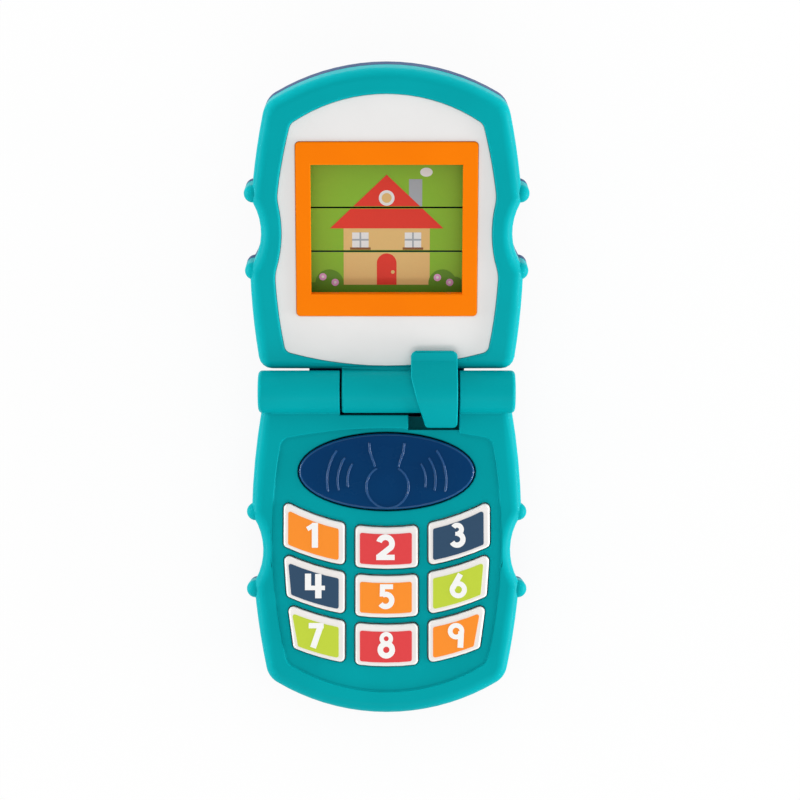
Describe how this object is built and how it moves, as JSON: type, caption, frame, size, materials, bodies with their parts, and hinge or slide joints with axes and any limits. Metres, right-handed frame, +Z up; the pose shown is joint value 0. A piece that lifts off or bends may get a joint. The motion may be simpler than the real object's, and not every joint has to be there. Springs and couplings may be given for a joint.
{
  "type": "toy cell phone",
  "caption": "Toy flip phone: hinged teal casings, press keys, oval squeaker button, and a lever at the hinge that turns the picture slats in the framed screen.",
  "frame": {"origin": "middle of the flat rear face of the base, which it lies on", "axes": "+Y from the base toward the open lid, +Z up out of the keys, +X to the right"},
  "size_m": [0.0689, 0.159, 0.0389],
  "materials": {
    "teal_plastic": "smooth moulded, semi-gloss",
    "navy_plastic": "smooth moulded, semi-gloss",
    "white_plastic": "smooth moulded, semi-gloss",
    "orange_plastic": "smooth moulded, semi-gloss",
    "button_plastic": "polished, with raised line artwork",
    "slat_plastic": "printed picture faces",
    "grey_plastic": "plain inner moulding",
    "label_orange": "printed field",
    "label_red": "printed field",
    "label_navy": "printed field",
    "label_lime": "printed field",
    "steel": "plain zinc-plated",
    "rubber": "soft moulded"
  },
  "bodies": {
    "base": {"base_front_shell": "teal_plastic", "base_rear_cover": "navy_plastic", "base_case_screws": "steel", "hinge_pin": "steel", "hinge_plug": "teal_plastic", "key_mat": "rubber", "key_plate": "grey_plastic", "key_plate_screws": "steel", "squeaker_bellows": "rubber", "squeaker_reed": "grey_plastic"},
    "lid": {"lid_front_shell": "teal_plastic", "lid_rear_cover": "navy_plastic", "lid_case_screws": "steel", "screen_plate": "white_plastic", "screen_frame": "orange_plastic", "slat_cradle": "grey_plastic", "cradle_screws": "steel", "lever_spring": "steel"},
    "lever": {"flip_lever": "teal_plastic"},
    "rack": {"slat_rack": "orange_plastic"},
    "squeaker": {"squeaker_button": "button_plastic"},
    "turning_top": {"slat_top": "slat_plastic", "pinion_top": "grey_plastic"},
    "turning_middle": {"slat_middle": "slat_plastic", "pinion_middle": "grey_plastic"},
    "turning_bottom": {"slat_bottom": "slat_plastic", "pinion_bottom": "grey_plastic"},
    "pressed_1": {"key_1": "white_plastic", "key_label_1": "label_orange"},
    "pressed_2": {"key_2": "white_plastic", "key_label_2": "label_red"},
    "pressed_3": {"key_3": "white_plastic", "key_label_3": "label_navy"},
    "pressed_4": {"key_4": "white_plastic", "key_label_4": "label_navy"},
    "pressed_5": {"key_5": "white_plastic", "key_label_5": "label_orange"},
    "pressed_6": {"key_6": "white_plastic", "key_label_6": "label_lime"},
    "pressed_7": {"key_7": "white_plastic", "key_label_7": "label_lime"},
    "pressed_8": {"key_8": "white_plastic", "key_label_8": "label_red"},
    "pressed_9": {"key_9": "white_plastic", "key_label_9": "label_orange"}
  },
  "joints": [
    {"name": "lid_fold", "type": "hinge", "parent": "base", "child": "lid", "pos_m": [0, 0.038, 0.0195], "axis": [1, 0, 0], "range_deg": [0, 165]},
    {"name": "lever_press", "type": "hinge", "parent": "lid", "child": "lever", "pos_m": [0, 0.038, 0.0195], "axis": [1, 0, 0], "range_deg": [0, 29.11], "stiffness_Nm_per_rad": 0.03, "springref_deg": -17.19, "deforming": ["lever_spring"]},
    {"name": "rack_slide", "type": "slide", "parent": "lid", "child": "rack", "axis": [0, 0.9659, 0.2588], "range_m": [0, 0.00505]},
    {"name": "squeaker_press", "type": "slide", "parent": "base", "child": "squeaker", "axis": [0, 0, -1], "range_m": [0, 0.003], "stiffness_N_per_m": 250, "deforming": ["squeaker_bellows"]},
    {"name": "slat_turn_bottom", "type": "hinge", "parent": "lid", "child": "turning_bottom", "pos_m": [0, 0.06782, 0.01776], "axis": [1, 0, 0], "range_deg": [0, 120.2]},
    {"name": "slat_turn_middle", "type": "hinge", "parent": "lid", "child": "turning_middle", "pos_m": [0, 0.07825, 0.02055], "axis": [1, 0, 0], "range_deg": [0, 120.2]},
    {"name": "slat_turn_top", "type": "hinge", "parent": "lid", "child": "turning_top", "pos_m": [0, 0.08868, 0.02335], "axis": [1, 0, 0], "range_deg": [0, 120.2]},
    {"name": "key_press_1", "type": "slide", "parent": "base", "child": "pressed_1", "axis": [0, 0, -1], "range_m": [0, 0.0014], "stiffness_N_per_m": 300, "deforming": ["key_mat"]},
    {"name": "key_press_2", "type": "slide", "parent": "base", "child": "pressed_2", "axis": [0, 0, -1], "range_m": [0, 0.0014], "stiffness_N_per_m": 300, "deforming": ["key_mat"]},
    {"name": "key_press_3", "type": "slide", "parent": "base", "child": "pressed_3", "axis": [0, 0, -1], "range_m": [0, 0.0014], "stiffness_N_per_m": 300, "deforming": ["key_mat"]},
    {"name": "key_press_4", "type": "slide", "parent": "base", "child": "pressed_4", "axis": [0, 0, -1], "range_m": [0, 0.0014], "stiffness_N_per_m": 300, "deforming": ["key_mat"]},
    {"name": "key_press_5", "type": "slide", "parent": "base", "child": "pressed_5", "axis": [0, 0, -1], "range_m": [0, 0.0014], "stiffness_N_per_m": 300, "deforming": ["key_mat"]},
    {"name": "key_press_6", "type": "slide", "parent": "base", "child": "pressed_6", "axis": [0, 0, -1], "range_m": [0, 0.0014], "stiffness_N_per_m": 300, "deforming": ["key_mat"]},
    {"name": "key_press_7", "type": "slide", "parent": "base", "child": "pressed_7", "axis": [0, 0, -1], "range_m": [0, 0.0014], "stiffness_N_per_m": 300, "deforming": ["key_mat"]},
    {"name": "key_press_8", "type": "slide", "parent": "base", "child": "pressed_8", "axis": [0, 0, -1], "range_m": [0, 0.0014], "stiffness_N_per_m": 300, "deforming": ["key_mat"]},
    {"name": "key_press_9", "type": "slide", "parent": "base", "child": "pressed_9", "axis": [0, 0, -1], "range_m": [0, 0.0014], "stiffness_N_per_m": 300, "deforming": ["key_mat"]}
  ],
  "couplings": [
    {"joint": "rack_slide", "follows": "lever_press", "m_per_rad": 0.0098928},
    {"joint": "slat_turn_bottom", "follows": "lever_press", "ratio": 4.122},
    {"joint": "slat_turn_middle", "follows": "lever_press", "ratio": 4.122},
    {"joint": "slat_turn_top", "follows": "lever_press", "ratio": 4.122}
  ]
}
